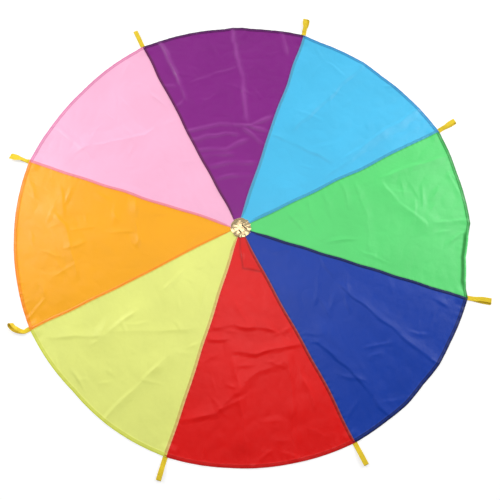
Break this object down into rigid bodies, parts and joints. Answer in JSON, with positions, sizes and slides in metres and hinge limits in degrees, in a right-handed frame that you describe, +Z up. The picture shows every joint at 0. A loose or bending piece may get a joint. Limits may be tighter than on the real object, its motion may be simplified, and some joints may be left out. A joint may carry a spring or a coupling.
{
  "type": "play parachute",
  "caption": "Round play parachute of coloured cloth wedges with yellow webbing loop handles and a gathered gold crown cap, laid out flat.",
  "frame": {"origin": "on the ground under the middle of the crown, with the canopy laid out flat", "axes": "+Z up from the ground; +X out along the seam between the green and the sky gore, which is half of the line the canopy folds along; +Y towards the seam between the purple and the pink gore"},
  "size_m": [2.1678, 2.1811, 0.0225],
  "materials": {
    "cloth_sky": "coated taffeta, soft sheen",
    "cloth_purple": "coated taffeta, soft sheen",
    "cloth_pink": "coated taffeta, soft sheen",
    "cloth_orange": "coated taffeta, soft sheen",
    "cloth_lime": "coated taffeta, soft sheen",
    "cloth_red": "coated taffeta, soft sheen",
    "cloth_blue": "coated taffeta, soft sheen",
    "cloth_green": "coated taffeta, soft sheen",
    "webbing": "woven, matt",
    "thread": "twisted polyester, satin; sewn in the colour of the cloth under it",
    "gold_cloth": "crinkled metallic cloth, glossy",
    "backing_cloth": "plain woven, matt"
  },
  "bodies": {
    "far_half": {"gore_sky": "cloth_sky", "gore_purple": "cloth_purple", "gore_pink": "cloth_pink", "gore_orange": "cloth_orange", "hem_thread_sky": "thread", "hem_thread_purple": "thread", "hem_thread_pink": "thread", "hem_thread_orange": "thread", "seam_thread_1": "thread", "seam_thread_2": "thread", "seam_thread_3": "thread", "seam_thread_4": "thread", "seam_thread_5": "thread", "crown_cap": "gold_cloth", "crown_thread": "thread", "crown_backing": "backing_cloth", "handle_tail_1": "webbing", "handle_tack_1": "thread", "handle_tail_2": "webbing", "handle_tack_2": "thread", "handle_tail_3": "webbing", "handle_tack_3": "thread", "handle_tail_4": "webbing", "handle_tack_4": "thread", "handle_tail_5": "webbing", "handle_tack_5": "thread"},
    "near_half": {"gore_lime": "cloth_lime", "gore_red": "cloth_red", "gore_blue": "cloth_blue", "gore_green": "cloth_green", "hem_thread_lime": "thread", "hem_thread_red": "thread", "hem_thread_blue": "thread", "hem_thread_green": "thread", "seam_thread_6": "thread", "seam_thread_7": "thread", "seam_thread_8": "thread", "handle_tail_6": "webbing", "handle_tack_6": "thread", "handle_tail_7": "webbing", "handle_tack_7": "thread", "handle_tail_8": "webbing", "handle_tack_8": "thread"},
    "handle_1": {"handle_loop_1": "webbing"},
    "handle_2": {"handle_loop_2": "webbing"},
    "handle_3": {"handle_loop_3": "webbing"},
    "handle_4": {"handle_loop_4": "webbing"},
    "handle_5": {"handle_loop_5": "webbing"},
    "handle_6": {"handle_loop_6": "webbing"},
    "handle_7": {"handle_loop_7": "webbing"},
    "handle_8": {"handle_loop_8": "webbing"}
  },
  "joints": [
    {"name": "fold_half", "type": "hinge", "parent": "far_half", "child": "near_half", "pos_m": [0, 0, 0.0095], "axis": [1, 0, 0], "range_deg": [-179, 0], "deforming": ["crown_cap", "crown_thread", "crown_backing", "handle_tack_1", "handle_tack_5"]},
    {"name": "handle_1_lift", "type": "hinge", "parent": "far_half", "child": "handle_1", "pos_m": [1.0003, 0, 0.0049], "axis": [0, -1, 0], "range_deg": [0, 150]},
    {"name": "handle_2_lift", "type": "hinge", "parent": "far_half", "child": "handle_2", "pos_m": [0.70732, 0.70732, 0.0049], "axis": [0.7071, -0.7071, 0], "range_deg": [0, 150]},
    {"name": "handle_3_lift", "type": "hinge", "parent": "far_half", "child": "handle_3", "pos_m": [0, 1.0003, 0.0049], "axis": [1, 0, 0], "range_deg": [0, 150]},
    {"name": "handle_4_lift", "type": "hinge", "parent": "far_half", "child": "handle_4", "pos_m": [-0.70732, 0.70732, 0.0049], "axis": [0.7071, 0.7071, 0], "range_deg": [0, 150]},
    {"name": "handle_5_lift", "type": "hinge", "parent": "far_half", "child": "handle_5", "pos_m": [-1.0003, 0, 0.0049], "axis": [0, 1, 0], "range_deg": [0, 120]},
    {"name": "handle_6_lift", "type": "hinge", "parent": "near_half", "child": "handle_6", "pos_m": [-0.70732, -0.70732, 0.0049], "axis": [-0.7071, 0.7071, 0], "range_deg": [0, 150]},
    {"name": "handle_7_lift", "type": "hinge", "parent": "near_half", "child": "handle_7", "pos_m": [0, -1.0003, 0.0049], "axis": [-1, 0, 0], "range_deg": [0, 150]},
    {"name": "handle_8_lift", "type": "hinge", "parent": "near_half", "child": "handle_8", "pos_m": [0.70732, -0.70732, 0.0049], "axis": [-0.7071, -0.7071, 0], "range_deg": [0, 150]}
  ]
}
